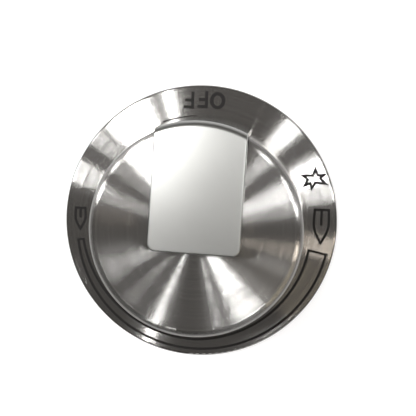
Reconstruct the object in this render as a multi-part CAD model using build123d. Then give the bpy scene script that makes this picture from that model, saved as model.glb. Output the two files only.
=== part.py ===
from build123d import *
import math
import os

# Skirted stove knob, in millimetres. The origin is on the axis at the back of the skirt,
# +Z runs along the spindle towards the face and +Y points at the OFF mark.

# Skirt: a pressed steel ring that carries the marks
skirt_radius = 35.0
skirt_sheet = 1.0
skirt_edge_height = 2.0
skirt_edge_round = 0.6
skirt_rise = 0.6
skirt_hole_margin = 1.2
land_margin = 1.4

# Body: a drawn steel cup, open at the back, whose turned face is the front of the knob
body_radius = 26.2
body_height = 21.4
body_sheet = 1.0
body_shoulder = 1.8

# Grip: a die-cast bar on the face, with a leg down the front of the body
grip_height = 5.0
grip_width = 22.3
grip_overhang = 0.8
grip_free_end = 4.9
grip_draft = 0.6
grip_end_round = 1.6
grip_edge_round = 0.4
grip_free_corner = 1.9
grip_roof = 2.2
grip_wall = 2.4
leg_depth = 3.0
leg_foot_gap = 0.3
leg_clearance = 0.15

# Hub: a moulded core that takes the spindle and holds the other pieces together
hub_plate = 2.5
hub_clearance = 0.15
boss_radius = 7.6
boss_end = 0.8
rib_width = 2.0
rib_spring_gap = 0.8
post_radius = 3.4
post_margin = 0.85
post_count = 4
post_start = 45.0

# Socket for the valve spindle
spindle_diameter = 8.0
spindle_across_flat = 6.5
spindle_clearance = 0.05
socket_depth = 15.0
lead_in_clearance = 0.3
lead_in_depth = 4.0
slit_width = 1.2
slit_height = 9.0

# Spring ring round the split boss
spring_sheet = 0.8
spring_height = 4.0
spring_inset = 0.9
spring_gap_angle = 70.0
spring_groove = 0.6
spring_clearance = 0.05

# Screws
screw_diameter = 3.0
screw_fit = 0.05
screw_pass = 0.2
screw_tip_room = 0.4
screw_point = 0.5
screw_head_bevel = 0.4
skirt_screw_length = 9.0
skirt_screw_head = 1.3
skirt_screw_head_radius = 2.9
grip_screw_length = 6.6
grip_screw_head = 2.0
grip_screw_head_radius = 2.75
grip_screw_offset = 6.5
grip_screw_setback = 8.6
grip_boss_radius = 3.2

# Levels and radii that follow from the sizes above
land_level = skirt_edge_height + skirt_rise
flange_back = land_level - skirt_sheet
land_radius = body_radius + land_margin
face_level = land_level + body_height
face_back = face_level - body_sheet
grip_top = face_level + grip_height
leg_foot = land_level + leg_foot_gap
plate_back = face_back - hub_plate
plate_radius = body_radius - body_sheet - hub_clearance
post_circle = plate_radius - post_margin - post_radius
skirt_hole_radius = post_circle - post_radius - skirt_hole_margin
grip_end_radius = body_radius + grip_overhang
leg_back_radius = grip_end_radius - leg_depth
grip_screw_reach = leg_back_radius - grip_screw_setback
draft_slope = math.tan(math.radians(grip_draft))
spindle_radius = spindle_diameter / 2
lead_in_radius = spindle_radius + lead_in_clearance
spring_bottom = boss_end + spring_inset
spring_top = spring_bottom + spring_height
rib_edge = spring_top + rib_spring_gap
grip_screw_points = Locations((-grip_screw_offset, grip_screw_reach), (grip_screw_offset, grip_screw_reach))
post_points = PolarLocations(post_circle, post_count, start_angle=post_start)


def upright(radius, bottom, top):
    """A cylinder on the axis between two levels."""
    return Pos(0, 0, bottom) * Cylinder(radius, top - bottom, align=(Align.CENTER, Align.CENTER, Align.MIN))


def turned(points, rounds):
    """A body of revolution from (radius, level) points, with some of its corners rounded."""
    section = make_face(Polyline(*points, close=True))
    for corner, radius in rounds:
        section = fillet(section.vertices().sort_by_distance(corner)[0], radius)
    return revolve(Plane.XZ * section, Axis.Z)


def at_points(points, tool):
    """Copies of one tool at each of several places."""
    return [place * tool for place in points]


def make_skirt():
    """Shallow cone with a turned-down edge and a flat flange that the body stands on."""
    edge = (skirt_radius, skirt_edge_height)
    inner_edge = (skirt_radius - skirt_sheet, skirt_edge_height - skirt_sheet)
    points = [
        (skirt_radius, 0),
        edge,
        (land_radius, land_level),
        (skirt_hole_radius, land_level),
        (skirt_hole_radius, flange_back),
        (land_radius, flange_back),
        inner_edge,
        (skirt_radius - skirt_sheet, 0),
    ]
    ring = turned(points, [(edge, skirt_edge_round)])
    hole = upright(screw_diameter / 2 + screw_pass, flange_back - skirt_sheet, land_level + skirt_sheet)
    return ring - at_points(post_points, hole)


def grip_block(level, spread=0.0):
    """The grip's drafted form from a level up to its top, with its walls moved out by some spread."""
    height = grip_top - level
    grow = height * draft_slope + spread
    half = grip_width / 2 + grow
    end_radius = grip_end_radius + grow
    corner_reach = math.sqrt(end_radius**2 - half**2)
    tail = -grip_free_end - grow
    outline = make_face(
        Curve()
        + Line((-half, corner_reach), (-half, tail))
        + Line((-half, tail), (half, tail))
        + Line((half, tail), (half, corner_reach))
        + ThreePointArc((half, corner_reach), (0, end_radius), (-half, corner_reach))
    )
    outline = fillet(outline.vertices().group_by(Axis.Y)[0], grip_free_corner + grow)
    return extrude(Pos(0, 0, level) * outline, amount=height, taper=grip_draft)


def leg_slot():
    """The space that the leg takes in the body and in the hub, with its clearance."""
    block = grip_block(land_level - skirt_sheet, leg_clearance)
    core = upright(leg_back_radius - leg_clearance, 0, grip_top)
    return block - core


def make_body():
    """Drawn cup with a rounded shoulder, a slot for the grip's leg and two screw holes."""
    shoulder = (body_radius, face_level)
    inner_shoulder = (body_radius - body_sheet, face_back)
    points = [
        (0, face_level),
        shoulder,
        (body_radius, land_level),
        (body_radius - body_sheet, land_level),
        inner_shoulder,
        (0, face_back),
    ]
    cup = turned(points, [(shoulder, body_shoulder), (inner_shoulder, body_shoulder - body_sheet)])
    hole = upright(screw_diameter / 2 + screw_pass, face_back, face_level)
    return cup - leg_slot() - at_points(grip_screw_points, hole)


def make_grip():
    """Drafted bar with a hollow back and two screw bosses, and a leg that laps over the shoulder."""
    block = grip_block(leg_foot)
    end_edge = block.edges().group_by(Axis.Z)[-1].sort_by(Axis.Y)[-1]
    block = fillet(end_edge, grip_end_round)
    side_edges = block.edges().group_by(Axis.Z)[-1].sort_by(Axis.Y)[:-1]
    block = fillet(side_edges, grip_edge_round)
    block = block - upright(leg_back_radius, 0, face_level)
    cavity_top = grip_top - grip_roof
    half = grip_width / 2 - grip_wall
    front = leg_back_radius - grip_wall
    tail = grip_free_end - grip_wall
    cavity = Pos(0, (front - tail) / 2, face_level) * Box(
        2 * half, front + tail, cavity_top - face_level, align=(Align.CENTER, Align.CENTER, Align.MIN)
    )
    cavity = cavity & upright(front, 0, grip_top)
    boss = upright(grip_boss_radius, face_level, cavity_top)
    block = block - (cavity - at_points(grip_screw_points, boss))
    hole_top = plate_back + grip_screw_length + screw_tip_room
    hole = upright(screw_diameter / 2 + screw_fit, face_level, hole_top)
    return block - at_points(grip_screw_points, hole)


def spindle_socket():
    """Round mouth that leads into a D-shaped hole, cut flat on the side away from the OFF mark."""
    mouth = upright(lead_in_radius, boss_end, boss_end + lead_in_depth)
    radius = spindle_radius + spindle_clearance
    flat = spindle_across_flat - spindle_radius + spindle_clearance
    hole = upright(radius, boss_end, boss_end + socket_depth)
    waste = Pos(0, -flat, boss_end) * Box(
        2 * radius, radius, socket_depth, align=(Align.CENTER, Align.MAX, Align.MIN)
    )
    return mouth + (hole - waste)


def make_hub():
    """Plate under the face, a split boss for the spindle, and ribs out to the posts for the skirt."""
    plate = upright(plate_radius, plate_back, face_back)
    plate = fillet(plate.edges().group_by(Axis.Z)[-1], body_shoulder - body_sheet + hub_clearance)
    boss = upright(boss_radius, boss_end, plate_back)
    post = upright(post_radius, land_level, plate_back)
    rib = Pos(0, 0, rib_edge) * Box(
        post_circle, rib_width, plate_back - rib_edge, align=(Align.MIN, Align.CENTER, Align.MIN)
    )
    ribs = [Rot(0, 0, post_start + 360 / post_count * n) * rib for n in range(post_count)]
    hub = plate + boss + ribs + at_points(post_points, post)
    hub = hub - spindle_socket() - leg_slot()
    pilot = upright(screw_diameter / 2 + screw_fit, land_level, flange_back + skirt_screw_length + screw_tip_room)
    hub = hub - at_points(post_points, pilot)
    hole = upright(screw_diameter / 2 + screw_pass, plate_back, face_back)
    hub = hub - at_points(grip_screw_points, hole)
    slit = Pos(0, 0, boss_end) * Box(
        2 * boss_radius, slit_width, slit_height, align=(Align.CENTER, Align.CENTER, Align.MIN)
    )
    groove_radius = boss_radius - spring_groove
    groove_top = spring_top + spring_clearance
    groove_bottom = spring_bottom - spring_clearance
    groove = upright(boss_radius, groove_bottom, groove_top) - upright(groove_radius, groove_bottom, groove_top)
    return hub - slit - groove


def make_spring():
    """Open ring of spring steel that squeezes the split boss on to the spindle."""
    inner = boss_radius - spring_groove + spring_clearance
    outer = inner + spring_sheet
    ring = upright(outer, spring_bottom, spring_top) - upright(inner, spring_bottom, spring_top)
    half_gap = math.radians(spring_gap_angle / 2)
    reach = 2 * outer
    wedge = make_face(
        Polyline(
            (0, 0),
            (reach * math.sin(half_gap), reach * math.cos(half_gap)),
            (-reach * math.sin(half_gap), reach * math.cos(half_gap)),
            close=True,
        )
    )
    return ring - extrude(Pos(0, 0, spring_bottom) * wedge, amount=spring_height)


def make_screw(head_radius, head_height, length, seat):
    """A pan-head screw that points up from its seat level."""
    head = upright(head_radius, seat - head_height, seat)
    head = chamfer(head.edges().group_by(Axis.Z)[0], head_height * screw_head_bevel)
    shank = upright(screw_diameter / 2, seat, seat + length)
    return head + chamfer(shank.edges().group_by(Axis.Z)[-1], screw_point)


skirt_screw = make_screw(skirt_screw_head_radius, skirt_screw_head, skirt_screw_length, flange_back)
grip_screw = make_screw(grip_screw_head_radius, grip_screw_head, grip_screw_length, plate_back)

pieces = {
    "skirt": make_skirt(),
    "body": make_body(),
    "grip": make_grip(),
    "hub": make_hub(),
    "shaft_spring": make_spring(),
    "skirt_screws": Compound(at_points(post_points, skirt_screw)),
    "grip_screws": Compound(at_points(grip_screw_points, grip_screw)),
}

os.makedirs("parts", exist_ok=True)
for name, shape in pieces.items():
    export_step(shape, f"parts/{name}.step")
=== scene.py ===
import math
from collections import namedtuple

import bmesh
import bpy
from mathutils import Matrix, Vector


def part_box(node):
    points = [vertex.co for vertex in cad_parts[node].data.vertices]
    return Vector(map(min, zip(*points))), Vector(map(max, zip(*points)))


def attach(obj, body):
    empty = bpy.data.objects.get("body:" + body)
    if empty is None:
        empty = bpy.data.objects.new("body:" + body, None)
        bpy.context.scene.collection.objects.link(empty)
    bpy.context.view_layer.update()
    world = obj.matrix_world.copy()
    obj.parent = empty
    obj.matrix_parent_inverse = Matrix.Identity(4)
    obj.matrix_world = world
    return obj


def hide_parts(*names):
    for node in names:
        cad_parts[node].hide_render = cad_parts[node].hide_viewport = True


# Looks of the skirted stove knob, in metres. The knob's axis is Z, and its OFF mark lies towards +Y.

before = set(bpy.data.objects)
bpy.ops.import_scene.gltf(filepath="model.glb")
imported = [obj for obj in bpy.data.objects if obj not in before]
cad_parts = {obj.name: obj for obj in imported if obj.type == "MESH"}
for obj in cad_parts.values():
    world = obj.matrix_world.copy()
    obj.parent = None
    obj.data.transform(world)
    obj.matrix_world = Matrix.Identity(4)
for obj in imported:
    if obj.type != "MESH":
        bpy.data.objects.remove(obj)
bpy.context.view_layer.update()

# A millimetre, the knob's axis, and the factors that flatten a place on to the level plane
MM = 0.001
AXIS = (0.0, 0.0, 1.0)
LEVEL = (1.0, 1.0, 0.0)

# Sizes read from the frame
_, skirt_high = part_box("skirt")
_, body_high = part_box("body")
_, grip_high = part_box("grip")
SKIRT_RADIUS = skirt_high.x
LAND_LEVEL = skirt_high.z
BODY_RADIUS = body_high.x
LEG_FOOT_RADIUS = grip_high.y

# Sizes of the skirt that its box doesn't give: its edge, and the flat land round the body
SKIRT_EDGE_HEIGHT = 2.0 * MM
LAND_MARGIN = 1.4 * MM
LAND_RADIUS = BODY_RADIUS + LAND_MARGIN

# Angles below are those of the photograph, counter-clockwise from its right. The knob stands turned
# there, so an angle of the frame is this much larger.
VIEW_TURN = 3.82

# Printed marks: the ink's lift and thickness, its lines' width, and the cosine that limits a mitre's reach
INK_LIFT = 0.004 * MM
INK_THICKNESS = 0.02 * MM
LINE_WIDTH = 0.62 * MM
MITRE_LIMIT = 0.2

# The word OFF, whose letters share one lean
LETTER_RADIUS = 31.36 * MM
LETTER_LEAN = 88.0
LETTER_O_ANGLE = 82.1
LETTER_O_SIZE = (3.95 * MM, 4.35 * MM)
LETTER_O_STROKES = (0.95 * MM, 0.85 * MM)
LETTER_F_ANGLES = (89.0, 95.45)
LETTER_F_SIZE = (2.64 * MM, 4.33 * MM)
LETTER_F_STROKE = 0.78 * MM
LETTER_F_ARM = 0.88

# The spark: its angle and radius, and its corners in millimetres from there
SPARK_PLACE = (20.7, 31.06 * MM)
SPARK_CORNERS = (
    (0.25, 2.6), (0.9, 1.1), (2.45, 1.25), (1.5, 0.35), (2.95, -1.1), (0.3, -0.7),
    (-0.65, -2.2), (-1.05, -0.85), (-2.4, -1.4), (-1.65, 0.05), (-2.9, 1.05), (-0.35, 1.1),
)

# The two flames: angle and radius, length and width, and shares of these for the foot, belly and wick
HIGH_FLAME_PLACE = (-1.9, 30.9 * MM)
HIGH_FLAME_SIZE = (8.55 * MM, 3.85 * MM)
LOW_FLAME_PLACE = (178.6, 31.15 * MM)
LOW_FLAME_SIZE = (5.4 * MM, 2.65 * MM)
FLAME_FOOT = 0.92
FLAME_BELLY = 0.4
WICK_SHARE = 0.47

# The tapering bar between the flames: its inner side moves out over its first part, and its outer side
# moves in over its last
SWEEP_ANGLES = (-14.5, -171.5)
SWEEP_OUTER = 33.23 * MM
SWEEP_OUTER_FALL = 1.14 * MM
SWEEP_OUTER_BEND = 0.55
SWEEP_INNER = 30.76 * MM
SWEEP_INNER_FALL = 2.11 * MM
SWEEP_INNER_BEND = 0.5

# Painted shade in the corner at the leg's foot, a dark film on the skirt: its two angles, its width at the
# first and its narrowing
FOOT_SHADE_ANGLES = (111.0, 92.0)
FOOT_SHADE_WIDTH = 0.36 * MM
FOOT_SHADE_FALL = 0.8

# Turned steel: how rough it is, how far its grooves lean and how light its colour is, on faces and on
# rounded edges
Finish = namedtuple("Finish", "roughness spread sheen")
SKIRT_FACE = Finish(0.16, 1.15, 1.0)
# The edges' low sheen darkens their colour: painted shade that dims the highlights on the rounded edges
SKIRT_EDGE = Finish(0.12, 0.0, 0.15)
BODY_FACE = Finish(0.18, 1.0, 1.0)
BODY_EDGE = Finish(0.28, 1.0, 0.2)
GROOVE_PITCH = 0.02 * MM

# Very slight crowns that polishing left: the lean of the body's face at its rim, and the centre and the
# radii of the grip's face, across it and along it, with 1 for the axis
BODY_CROWN = 0.015
GRIP_CROWN_CENTRE = (1.7 * MM, -6.0 * MM, 0.0)
GRIP_CROWN = (275 * MM, 350 * MM, 1.0)

# Satin casting: roughness of the face and of the walls, and sheen of both and of the rounds between them,
# where the darker colour is painted shade
GRIP_ROUGHNESS = 0.31
GRIP_WALL_ROUGHNESS = 0.18
GRIP_SHEEN = 0.75
GRIP_ROUND_PAINTED_SHADE = 0.30

# Small steel parts: roughness, and how far it varies
SPRING_ROUGHNESS = 0.30
SCREW_ROUGHNESS = 0.32
GLOSS_SPREAD = 0.2

# A dark and a light colour for each finish
STEEL_COLOURS = ((0.22, 0.214, 0.206), (0.76, 0.743, 0.722))
GRIP_COLOURS = ((0.10, 0.099, 0.097), (0.684, 0.686, 0.662))
HUB_COLOURS = ((0.018, 0.018, 0.019), (0.030, 0.030, 0.031))
SPRING_COLOURS = ((0.36, 0.36, 0.37), (0.48, 0.48, 0.49))
SCREW_COLOURS = ((0.52, 0.52, 0.50), (0.64, 0.63, 0.61))
INK_COLOURS = ((0.018, 0.017, 0.017), (0.028, 0.026, 0.025))
# The dark film at the leg's foot is painted shade, not a finish
FOOT_SHADE_COLOURS = ((0.016, 0.014, 0.012), (0.034, 0.030, 0.026))

# Screws: heads as large as the solids', and the head's profile in shares of its radius and height
Head = namedtuple("Head", "radius height")
SKIRT_SCREW_HEAD = Head(2.9 * MM, 1.3 * MM)
GRIP_SCREW_HEAD = Head(2.75 * MM, 2.0 * MM)
HEAD_PROFILE = ((0.62, 1.0), (0.80, 0.94), (0.92, 0.80), (0.985, 0.58), (1.0, 0.30), (0.97, 0.0))
SHARP_ANGLE = 35.0

# Thread, its vertices round the screw and rings along a turn, and the shares of its root that are left
# where it ends and at the point
SCREW_RADIUS = 1.5 * MM
SCREW_PITCH = 1.06 * MM
SCREW_THREAD = 0.38 * MM
SCREW_NECK = 0.9 * MM
SCREW_POINT = 0.5 * MM
SCREW_STEPS = 32
THREAD_STEPS = 8
THREAD_END = 0.75
POINT_SHARE = 0.2

# Cross recess, with the shares of its reach and width that are left at its floor, and the angles in
# degrees at which the screws of a set stop
RECESS_REACH = 0.58
RECESS_WIDTH = 0.72 * MM
RECESS_DEPTH = 0.75
RECESS_FLOOR_REACH = 0.7
RECESS_FLOOR_WIDTH = 0.8
SCREW_FIRST_TURN = 23
SCREW_NEXT_TURN = 71

# Photograph's view: the camera leans towards one side of the axis, and the frame is square
FRAME_PIXELS = 416
CAMERA_DISTANCE = 358.3 * MM
CAMERA_TILT = 7.21
CAMERA_AZIMUTH = 61.93
CAMERA_LENS = 120.38
CAMERA_CLIP = 10 * MM
SENSOR_WIDTH = 36.0
KNOB_CENTRE_PIXEL = (200.83, 221.66)

# Lamps as their streaks on the turned ring show them: the streak's two angles, the lean of the grooves
# that catch the lamp's near and far end, and the lamp's brightness and colour
WHITE = (1.0, 1.0, 1.0)
WARM = (1.0, 0.90, 0.78)
WOOD = (1.0, 0.86, 0.62)
LAMPS = {
    "right": (17.0, 29.5, 6.5, 11.5, 12.0, WHITE),
    "right_spill": (9.5, 15.5, 14.5, 21.5, 14.0, WHITE),
    "right_upper": (42.0, 50.5, 9.5, 14.0, 12.5, WHITE),
    "upper_strip": (103.0, 105.5, 7.0, 17.5, 24.0, WHITE),
    "upper_left": (116.7, 131.0, 5.0, 16.0, 24.5, WHITE),
    "upper_spill": (138.0, 144.5, 14.0, 23.0, 8.5, WHITE),
    "left": (153.0, 163.0, 15.0, 21.0, 20.0, WHITE),
    "lower_strip": (245.0, 247.0, 3.0, 8.0, 24.0, WHITE),
    "warm_spill": (312.0, 341.0, 14.5, 22.0, 1.0, WOOD),
    "warm": (344.0, 352.5, 12.5, 22.5, 4.7, WARM),
}
LAMP_DISTANCE = 0.8
LAMP_WATTS = 4.0
STREAK_RADIUS = LETTER_RADIUS

# Surroundings: a grey below and one above in the photograph, the height past which each stays the same,
# and a floor that shines just enough to look white
WORLD_LOW = (0.055, 0.053, 0.050)
WORLD_HIGH = (0.195, 0.186, 0.178)
WORLD_REACH = 0.7
FLOOR_REACH = 3.0
FLOOR_GREY = (0.5, 0.5, 0.5, 1.0)
FLOOR_GLOW = 0.68


def polar(angle, radius):
    """A point of the marks' plane, at an angle in degrees and a radius."""
    turned = math.radians(angle + VIEW_TURN)
    return Vector((radius * math.cos(turned), radius * math.sin(turned)))


def direction(azimuth, zenith):
    """Unit vector at an angle of the photograph and an angle from the knob's axis, both in degrees."""
    across = polar(azimuth, math.sin(math.radians(zenith)))
    return Vector((across.x, across.y, math.cos(math.radians(zenith))))


def skirt_height(radius):
    """Level of the skirt's upper surface at a radius."""
    share = (SKIRT_RADIUS - radius) / (SKIRT_RADIUS - LAND_RADIUS)
    return SKIRT_EDGE_HEIGHT + min(1.0, share) * (LAND_LEVEL - SKIRT_EDGE_HEIGHT)


def link(name, bm, material, slot, *nodes):
    """Makes a piece of the knob from a bmesh and lets it ride on the knob."""
    bmesh.ops.recalc_face_normals(bm, faces=bm.faces)
    mesh = bpy.data.meshes.new(name)
    bm.to_mesh(mesh)
    bm.free()
    piece = bpy.data.objects.new(name, mesh)
    bpy.context.scene.collection.objects.link(piece)
    mesh.materials.append(material)
    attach(piece, "root")
    if nodes:
        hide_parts(*nodes)
    return piece


class Nodes:
    """Short way to write the node tree of a material or of the world."""

    def __init__(self, owner, shader, coordinates):
        owner.use_nodes = True
        self.owner = owner
        self.tree = owner.node_tree
        self.shader = self.tree.nodes[shader]
        self.place = self.add("ShaderNodeTexCoord").outputs[coordinates]

    def add(self, kind, **settings):
        """A node, whose settings are inputs or properties."""
        node = self.tree.nodes.new(kind)
        for key, value in settings.items():
            if key in node.inputs:
                node.inputs[key].default_value = value
            else:
                setattr(node, key, value)
        return node

    def feed(self, value, socket):
        """Gives a socket a value or the output of another node."""
        if isinstance(value, bpy.types.NodeSocket):
            self.tree.links.new(value, socket)
        else:
            socket.default_value = value

    def shade(self, **inputs):
        """Feeds the shader's inputs, whose names are written with underscores."""
        for key, value in inputs.items():
            self.feed(value, self.shader.inputs[key.replace("_", " ")])

    def math(self, operation, first, second=0.0):
        node = self.add("ShaderNodeMath", operation=operation)
        self.feed(first, node.inputs[0])
        self.feed(second, node.inputs[1])
        return node.outputs[0]

    def vector(self, operation, first, second=None, scale=None):
        node = self.add("ShaderNodeVectorMath", operation=operation)
        self.feed(first, node.inputs[0])
        if second is not None:
            self.feed(second, node.inputs[1])
        if scale is not None:
            self.feed(scale, node.inputs["Scale"])
        return node.outputs["Value" if operation in ("LENGTH", "DOT_PRODUCT") else "Vector"]

    def normal(self):
        """The surface's own normal."""
        return self.add("ShaderNodeNewGeometry").outputs["Normal"]

    def leant(self, normal, lean):
        """A normal that leans a little."""
        return self.vector("NORMALIZE", self.vector("ADD", normal, lean))

    def noise(self, scale, detail, track=None):
        """Noise over the piece, or along one track."""
        node = self.add("ShaderNodeTexNoise", Scale=scale, Detail=detail)
        if track is None:
            self.feed(self.place, node.inputs["Vector"])
        else:
            node.noise_dimensions = "1D"
            self.feed(track, node.inputs["W"])
        return node.outputs["Fac"]

    def between(self, factor, low, high, start=0.0, end=1.0):
        """Maps a factor from the range start to end on to the range low to high."""
        node = self.add("ShaderNodeMapRange")
        for value, socket in zip((factor, start, end, low, high), node.inputs):
            self.feed(value, socket)
        return node.outputs["Result"]

    def blend(self, factor, dark, light):
        """Mixes two colours by a factor. The node's sockets for colours come after those for other data."""
        node = self.add("ShaderNodeMix", data_type="RGBA")
        self.feed(factor, node.inputs[0])
        node.inputs[6].default_value = (*dark, 1.0)
        node.inputs[7].default_value = (*light, 1.0)
        return node.outputs[2]

    def rounding(self, facing):
        """How far a place is from a level face and from an upright wall: 1 on the round between them."""
        square = self.math("MULTIPLY", facing, self.math("SUBTRACT", 1.0, facing))
        return self.math("SQRT", self.math("MULTIPLY", square, 4.0))

    def bump(self, height, strength, distance):
        node = self.add("ShaderNodeBump", Strength=strength, Distance=distance)
        self.feed(height, node.inputs["Height"])
        return node.outputs["Normal"]


def material_nodes(name):
    """The node tree of a new material."""
    return Nodes(bpy.data.materials.new(name), "Principled BSDF", "Object")


def turned_steel(name, face, edge, crown):
    """Stainless steel brushed round the axis, whose grooves spread a reflection across them only. Its
    finish goes from that of its faces to that of its rounded edges, whose darker colour is painted shade
    that dims their highlights."""
    n = material_nodes(name)
    normal = n.normal()
    flat = n.vector("MULTIPLY", n.place, LEVEL)
    radius = n.vector("LENGTH", flat)
    around = n.vector("NORMALIZE", n.vector("CROSS_PRODUCT", AXIS, flat))
    across = n.vector("CROSS_PRODUCT", around, normal)
    height = n.vector("DOT_PRODUCT", n.place, AXIS)
    facing = n.vector("DOT_PRODUCT", normal, AXIS)
    rounding = n.rounding(facing)
    track = n.math("DIVIDE", n.math("SUBTRACT", radius, height), GROOVE_PITCH)
    groove = n.math("SUBTRACT", n.noise(scale=1.0, detail=3.0, track=track), 0.5)
    groove = n.math("MULTIPLY", groove, n.between(rounding, face.spread, edge.spread))
    dome = n.math("MULTIPLY", n.math("DIVIDE", radius, BODY_RADIUS), n.math("MULTIPLY", facing, crown))
    bands = n.between(n.noise(scale=0.025, detail=2.0, track=track), low=0.55, high=0.85)
    # The bands are the turning's grain; the darker colour towards rounded edges is painted shade
    sheen = n.math("MULTIPLY", bands, n.between(rounding, face.sheen, edge.sheen))
    n.shade(
        Base_Color=n.blend(sheen, *STEEL_COLOURS),
        Roughness=n.between(rounding, face.roughness, edge.roughness),
        Metallic=1.0,
        Anisotropic=1.0,
        Tangent=across,
        Normal=n.leant(normal, n.vector("SCALE", across, scale=n.math("ADD", groove, dome))),
    )
    return n.owner


def satin_casting():
    """Satin plating of the grip, whose flat face is very slightly crowned by polishing, and whose colour is
    darker on its rounded edges as painted shade.
    """
    n = material_nodes("satin_grip")
    normal = n.normal()
    offset = n.vector("MULTIPLY", n.vector("SUBTRACT", n.place, GRIP_CROWN_CENTRE), LEVEL)
    facing = n.vector("DOT_PRODUCT", normal, AXIS)
    cloud = n.between(n.noise(scale=90.0, detail=4.0), low=0.9, high=1.1)
    # The cloud is the plating's uneven tone; the darker colour on the rounds is painted shade
    sheen = n.math("MULTIPLY", cloud, n.between(n.rounding(facing), GRIP_SHEEN, GRIP_ROUND_PAINTED_SHADE))
    n.shade(
        Base_Color=n.blend(sheen, *GRIP_COLOURS),
        Roughness=n.between(facing, GRIP_WALL_ROUGHNESS, GRIP_ROUGHNESS, start=0.0, end=0.5),
        Metallic=1.0,
        Normal=n.leant(normal, n.vector("DIVIDE", offset, GRIP_CROWN)),
    )
    return n.owner


def moulded_plastic():
    """Black heat-resistant moulding with a spark-eroded grain."""
    n = material_nodes("hub_moulding")
    cloud = n.noise(scale=120.0, detail=4.0)
    grain = n.noise(scale=5000.0, detail=3.0)
    n.shade(
        Base_Color=n.blend(cloud, *HUB_COLOURS),
        Roughness=n.between(grain, low=0.42, high=0.58),
        Normal=n.bump(grain, strength=0.25, distance=0.03 * MM),
    )
    return n.owner


def plain_steel(name, colours, roughness):
    """Small steel parts, slightly uneven in colour and gloss."""
    n = material_nodes(name)
    cloud = n.noise(scale=700.0, detail=4.0)
    n.shade(
        Base_Color=n.blend(cloud, *colours),
        Roughness=n.between(cloud, roughness * (1 - GLOSS_SPREAD), roughness * (1 + GLOSS_SPREAD)),
        Metallic=1.0,
    )
    return n.owner


def dull_film(name, colours):
    """A thin dull film on the steel, such as ink or the painted shade at the leg's foot, a little uneven in
    colour.
    """
    n = material_nodes(name)
    cloud = n.noise(scale=1500.0, detail=3.0)
    n.shade(
        Base_Color=n.blend(cloud, *colours),
        Roughness=n.between(cloud, low=0.5, high=0.65),
        Specular_IOR_Level=0.08,
    )
    return n.owner


def bridge(bm, low, high):
    """Faces between two loops with as many vertices each."""
    for k in range(len(low)):
        bm.faces.new((low[k - 1], low[k], high[k], high[k - 1]))


def ink_loop(bm, outline, lift):
    """Vertices along an outline, at some lift above the skirt's surface."""
    return [bm.verts.new((p.x, p.y, skirt_height(p.length) + lift)) for p in outline]


def ink_band(bm, outer, inner):
    """Ink between two closed outlines with as many points each, as a thin closed solid on the skirt."""
    top = INK_LIFT + INK_THICKNESS
    corners = ((outer, INK_LIFT), (outer, top), (inner, top), (inner, INK_LIFT))
    rows = [ink_loop(bm, outline, lift) for outline, lift in corners]
    for low, high in zip(rows, rows[1:] + rows[:1]):
        bridge(bm, low, high)


def ink_patch(bm, outline):
    """Ink inside an outline, as a thin closed solid on the skirt."""
    low = ink_loop(bm, outline, INK_LIFT)
    high = ink_loop(bm, outline, INK_LIFT + INK_THICKNESS)
    bridge(bm, low, high)
    bm.faces.new(low)
    bm.faces.new(high)


def ink_line(bm, path):
    """A line of ink round a closed path, with mitred corners."""
    inner, outer = [], []
    for before, point, after in zip(path[-1:] + path[:-1], path, path[1:] + path[:1]):
        come = (point - before).normalized()
        leave = (after - point).normalized()
        normal = Vector((come.y + leave.y, -come.x - leave.x)).normalized()
        reach = 0.5 * LINE_WIDTH / max(MITRE_LIMIT, normal.dot(Vector((leave.y, -leave.x))))
        outer.append(point + normal * reach)
        inner.append(point - normal * reach)
    ink_band(bm, outer, inner)


def ink_bar(bm, start, end):
    """A straight bar of ink between two points."""
    side = (end - start).normalized() * (0.5 * LINE_WIDTH)
    side = Vector((side.y, -side.x))
    ink_patch(bm, [start + side, end + side, end - side, start - side])


def letter_axes():
    """Reading direction and top direction that the three letters share: they stand on the ring's edge."""
    foot = polar(LETTER_LEAN, 1.0)
    return Vector((-foot.y, foot.x)), -foot


def letter_o(bm):
    """The letter O, an oval with thicker sides."""
    along, top = letter_axes()
    centre = polar(LETTER_O_ANGLE, LETTER_RADIUS)
    wide, tall = LETTER_O_SIZE[0] / 2, LETTER_O_SIZE[1] / 2
    steps = 48
    outer, inner = [], []
    for k in range(steps):
        side = along * math.cos(2 * math.pi * k / steps)
        end = top * math.sin(2 * math.pi * k / steps)
        outer.append(centre + side * wide + end * tall)
        inner.append(centre + side * (wide - LETTER_O_STROKES[0]) + end * (tall - LETTER_O_STROKES[1]))
    ink_band(bm, outer, inner)


def letter_f(bm, angle):
    """The letter F: a stem, an arm at the top and a shorter one in the middle."""
    along, top = letter_axes()
    width, height = LETTER_F_SIZE
    stroke = LETTER_F_STROKE
    corner = polar(angle, LETTER_RADIUS) - along * width / 2 - top * height / 2
    low, high = (height - stroke) / 2, (height + stroke) / 2
    arm = width * LETTER_F_ARM
    corners = [(0, 0), (stroke, 0), (stroke, low), (arm, low), (arm, high), (stroke, high)]
    corners += [(stroke, height - stroke), (width, height - stroke), (width, height), (0, height)]
    ink_patch(bm, [corner + along * x + top * y for x, y in corners])


def flame_width(t):
    """Share of a flame's width at a share of its length: it swells from the foot and closes at the tip."""
    if t < FLAME_BELLY:
        return FLAME_FOOT + (1 - FLAME_FOOT) * math.sin(t / FLAME_BELLY * math.pi / 2)
    return math.cos((t - FLAME_BELLY) / (1 - FLAME_BELLY) * math.pi / 2)


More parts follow.
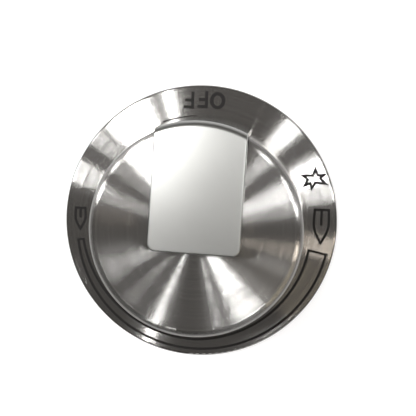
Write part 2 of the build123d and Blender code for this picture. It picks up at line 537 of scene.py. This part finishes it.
def flame(bm, place, size, pointing):
    """A pointed flame along the ring: a flat foot, bowed sides, and a wick line up the middle."""
    centre = polar(*place)
    across = centre.normalized()
    along = Vector((-across.y, across.x)) * pointing
    length, width = size
    foot = centre - along * length / 2
    steps = 12
    side = []
    for k in range(steps + 1):
        t = k / steps
        side.append((along * t * length, across * flame_width(t) * width / 2))
    path = [foot + rise + reach for rise, reach in side]
    path += [foot + rise - reach for rise, reach in reversed(side[:-1])]
    ink_line(bm, path)
    ink_bar(bm, foot + along * LINE_WIDTH / 2, foot + along * length * WICK_SHARE)


def spark(bm):
    """An uneven six-pointed star."""
    centre = polar(*SPARK_PLACE)
    turn = Matrix.Rotation(math.radians(VIEW_TURN), 2)
    ink_line(bm, [centre + turn @ Vector((x * MM, y * MM)) for x, y in reversed(SPARK_CORNERS)])


def sweep(bm):
    """A long outlined band round the lower half of the ring, wide at the high flame."""
    steps = 72
    first, last = SWEEP_ANGLES
    inner, outer = [], []
    for k in range(steps + 1):
        t = k / steps
        angle = first + t * (last - first)
        narrow = max(0.0, (t - SWEEP_OUTER_BEND) / (1 - SWEEP_OUTER_BEND))
        widen = max(0.0, 1 - t / SWEEP_INNER_BEND)
        outer.append(polar(angle, SWEEP_OUTER - SWEEP_OUTER_FALL * narrow**2))
        inner.append(polar(angle, SWEEP_INNER - SWEEP_INNER_FALL * widen))
    ink_line(bm, outer + inner[::-1])


def painted_foot_shade(bm):
    """A line of painted shade along the leg's foot, which gets thinner towards the foot's middle."""
    steps = 24
    first, last = FOOT_SHADE_ANGLES
    inner, outer = [], []
    for k in range(steps + 1):
        t = k / steps
        angle = first + t * (last - first)
        inner.append(polar(angle, LEG_FOOT_RADIUS))
        outer.append(polar(angle, LEG_FOOT_RADIUS + FOOT_SHADE_WIDTH * (1 - FOOT_SHADE_FALL * t)))
    ink_patch(bm, outer + inner[::-1])


def film_on_skirt(name, material, *draws):
    """One mark, or the line of painted shade at the leg's foot, on the skirt, made of one or more shapes.
    """
    bm = bmesh.new()
    for draw, *values in draws:
        draw(bm, *values)
    link(name, bm, material, "skirt_steel")


def ring_of(bm, radius, level):
    """Vertices round a screw's axis, at a radius that may vary with the angle."""
    loop = []
    for k in range(SCREW_STEPS):
        a = 2 * math.pi * k / SCREW_STEPS
        r = radius(a) if callable(radius) else radius
        loop.append(bm.verts.new((r * math.cos(a), r * math.sin(a), level)))
    return loop


def thread_ring(bm, step, count):
    """One ring of vertices along a screw's thread, which fades out over its last turn."""
    root = SCREW_RADIUS - SCREW_THREAD
    fade = min(1.0, (count - step + 2) / THREAD_STEPS)

    def crest(a):
        phase = abs(2 * ((step / THREAD_STEPS - a / (2 * math.pi)) % 1.0) - 1)
        thinned = root * (THREAD_END + (1 - THREAD_END) * fade)
        return thinned + SCREW_THREAD * fade * max(0.0, 2 * phase - 1)

    return ring_of(bm, crest, SCREW_NECK + step * SCREW_PITCH / THREAD_STEPS)


def cross_loop(bm, reach, width, level):
    """The twelve corners of a cross."""
    half = width / 2
    corners = []
    for k in range(4):
        turn = Matrix.Rotation(k * math.pi / 2, 2)
        corners += [turn @ Vector(p) for p in ((half, half), (half, reach), (-half, reach))]
    return [bm.verts.new((p.x, p.y, level)) for p in corners]


def screw(bm, head, length):
    """A pan-head tapping screw that points up from its seat, with a cross recess and a helical thread."""
    rows = [ring_of(bm, head.radius * share, -head.height * drop) for share, drop in HEAD_PROFILE]
    rows.append(ring_of(bm, SCREW_RADIUS, 0.0))
    rows.append(ring_of(bm, SCREW_RADIUS, SCREW_NECK))
    count = int((length - SCREW_NECK - SCREW_POINT) / SCREW_PITCH * THREAD_STEPS)
    rows += [thread_ring(bm, step, count) for step in range(1, count + 1)]
    rows.append(ring_of(bm, (SCREW_RADIUS - SCREW_THREAD) * POINT_SHARE, length))
    for low, high in zip(rows, rows[1:]):
        bridge(bm, low, high)
    bm.faces.new(rows[-1])
    reach = head.radius * RECESS_REACH
    depth = -head.height * (1 - RECESS_DEPTH)
    mouth = cross_loop(bm, reach, RECESS_WIDTH, -head.height)
    floor = cross_loop(bm, reach * RECESS_FLOOR_REACH, RECESS_WIDTH * RECESS_FLOOR_WIDTH, depth)
    bridge(bm, mouth, floor)
    bm.faces.new(floor)
    edges = []
    for loop in (rows[0], mouth):
        edges += [bm.edges.get((a, b)) for a, b in zip(loop, loop[1:] + loop[:1])]
    bmesh.ops.triangle_fill(bm, edges=edges, use_beauty=True)


def screw_set(node, head, places, material):
    """Detailed screws in the places of a node's plain ones."""
    low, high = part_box(node)
    seat = low.z + head.height
    bm = bmesh.new()
    for k, (x, y) in enumerate(places):
        one = bmesh.new()
        screw(one, head, high.z - seat)
        turn = Matrix.Rotation(math.radians(SCREW_FIRST_TURN + SCREW_NEXT_TURN * k), 4, "Z")
        one.transform(Matrix.Translation((x, y, seat)) @ turn)
        spare = bpy.data.meshes.new("spare")
        one.to_mesh(spare)
        one.free()
        bm.from_mesh(spare)
        bpy.data.meshes.remove(spare)
    piece = link(node + "_detail", bm, material, "screw_steel", node)
    piece.data.shade_smooth()
    piece.data.set_sharp_from_angle(angle=math.radians(SHARP_ANGLE))


def make_floor():
    """Pale floor that looks white and keeps the knob's shadow."""
    bm = bmesh.new()
    bmesh.ops.create_grid(bm, x_segments=1, y_segments=1, size=FLOOR_REACH)
    mesh = bpy.data.meshes.new("floor")
    bm.to_mesh(mesh)
    bm.free()
    floor = bpy.data.objects.new("floor", mesh)
    bpy.context.scene.collection.objects.link(floor)
    n = material_nodes("floor_white")
    path = n.add("ShaderNodeLightPath")
    seen = n.math("MAXIMUM", path.outputs["Is Camera Ray"], path.outputs["Is Glossy Ray"])
    seen = n.math("MAXIMUM", seen, path.outputs["Is Transmission Ray"])
    n.shade(
        Base_Color=FLOOR_GREY,
        Roughness=1.0,
        Emission_Color=(*WHITE, 1.0),
        Emission_Strength=n.math("MULTIPLY", seen, FLOOR_GLOW),
    )
    mesh.materials.append(n.owner)


def make_world():
    """Grey surroundings, lighter towards the photograph's top."""
    n = Nodes(bpy.data.worlds.new("studio"), "Background", "Generated")
    height = n.vector("DOT_PRODUCT", n.place, direction(90.0, 90.0))
    share = n.between(height, 0.0, 1.0, start=-WORLD_REACH, end=WORLD_REACH)
    n.shade(Color=n.blend(share, WORLD_LOW, WORLD_HIGH))
    bpy.context.scene.world = n.owner


def camera_place():
    """Where the camera stands."""
    return Vector((0.0, 0.0, SKIRT_EDGE_HEIGHT)) + direction(CAMERA_AZIMUTH, CAMERA_TILT) * CAMERA_DISTANCE


def lamp_place(azimuth, lean):
    """Where a lamp stands that reaches the camera off a groove of the ring that leans outwards."""
    spot = polar(azimuth, STREAK_RADIUS).to_3d()
    view = (camera_place() - spot).normalized()
    flank = direction(azimuth, lean)
    return spot + LAMP_DISTANCE * (2 * view.dot(flank) * flank - view)


def make_lamp(name, first, last, near, far, brightness, colour):
    """A soft box that makes a streak on the turned ring between two angles."""
    middle = (first + last) / 2
    side = lamp_place(first, (near + far) / 2) - lamp_place(last, (near + far) / 2)
    rise = lamp_place(middle, near) - lamp_place(middle, far)
    lamp = bpy.data.lights.new(name, "AREA")
    lamp.shape = "RECTANGLE"
    lamp.size = side.length
    lamp.size_y = rise.length
    lamp.energy = LAMP_WATTS * brightness * lamp.size * lamp.size_y
    lamp.color = colour
    holder = bpy.data.objects.new(name, lamp)
    place = (lamp_place(middle, near) + lamp_place(middle, far)) / 2
    away = place.normalized()
    rise = (rise - away * rise.dot(away)).normalized()
    axes = Matrix((rise.cross(away), rise, away)).transposed().to_4x4()
    holder.matrix_world = Matrix.Translation(place) @ axes
    bpy.context.scene.collection.objects.link(holder)


def make_camera():
    """Camera at the photograph's view, shifted so that the skirt's centre falls on its pixel."""
    data = bpy.data.cameras.new("camera")
    data.lens = CAMERA_LENS
    data.sensor_width = SENSOR_WIDTH
    data.clip_start = CAMERA_CLIP
    data.shift_x = (FRAME_PIXELS / 2 - KNOB_CENTRE_PIXEL[0]) / FRAME_PIXELS
    data.shift_y = (KNOB_CENTRE_PIXEL[1] - FRAME_PIXELS / 2) / FRAME_PIXELS
    camera = bpy.data.objects.new("camera", data)
    back = direction(CAMERA_AZIMUTH, CAMERA_TILT)
    right = direction(90.0, 90.0).cross(back).normalized()
    axes = Matrix((right, back.cross(right), back)).transposed().to_4x4()
    camera.matrix_world = Matrix.Translation(camera_place()) @ axes
    bpy.context.scene.collection.objects.link(camera)
    bpy.context.scene.camera = camera


# Films on the skirt
ink = dull_film("mark_ink", INK_COLOURS)
film_on_skirt("mark_off", ink, (letter_o,), *((letter_f, angle) for angle in LETTER_F_ANGLES))
film_on_skirt("mark_spark", ink, (spark,))
film_on_skirt("mark_high_flame", ink, (flame, HIGH_FLAME_PLACE, HIGH_FLAME_SIZE, -1))
film_on_skirt("mark_low_flame", ink, (flame, LOW_FLAME_PLACE, LOW_FLAME_SIZE, 1))
film_on_skirt("mark_sweep", ink, (sweep,))
# A dark film in the corner at the leg's foot: painted shade
film_on_skirt("leg_foot_painted_shade", dull_film("corner_painted_shade", FOOT_SHADE_COLOURS), (painted_foot_shade,))

# Finishes of the solids
screw_zinc = plain_steel("screw_zinc", SCREW_COLOURS, SCREW_ROUGHNESS)
finishes = {
    "skirt": turned_steel("skirt_steel", SKIRT_FACE, SKIRT_EDGE, 0.0),
    "body": turned_steel("body_steel", BODY_FACE, BODY_EDGE, BODY_CROWN),
    "grip": satin_casting(),
    "hub": moulded_plastic(),
    "shaft_spring": plain_steel("spring_steel", SPRING_COLOURS, SPRING_ROUGHNESS),
    "skirt_screws": screw_zinc,
    "grip_screws": screw_zinc,
}
for node, material in finishes.items():
    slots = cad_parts[node].data.materials
    slots.clear()
    slots.append(material)

# Screws
_, post_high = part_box("skirt_screws")
post = post_high.x - SKIRT_SCREW_HEAD.radius
posts = [(post, post), (-post, post), (-post, -post), (post, -post)]
screw_set("skirt_screws", SKIRT_SCREW_HEAD, posts, screw_zinc)
boss_low, boss_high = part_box("grip_screws")
boss = boss_high.x - GRIP_SCREW_HEAD.radius
boss_reach = (boss_low.y + boss_high.y) / 2
screw_set("grip_screws", GRIP_SCREW_HEAD, [(-boss, boss_reach), (boss, boss_reach)], screw_zinc)

# Floor, light and camera
make_floor()
make_world()
for lamp_name, values in LAMPS.items():
    make_lamp(lamp_name, *values)
make_camera()
bpy.context.scene.view_settings.view_transform = "Standard"
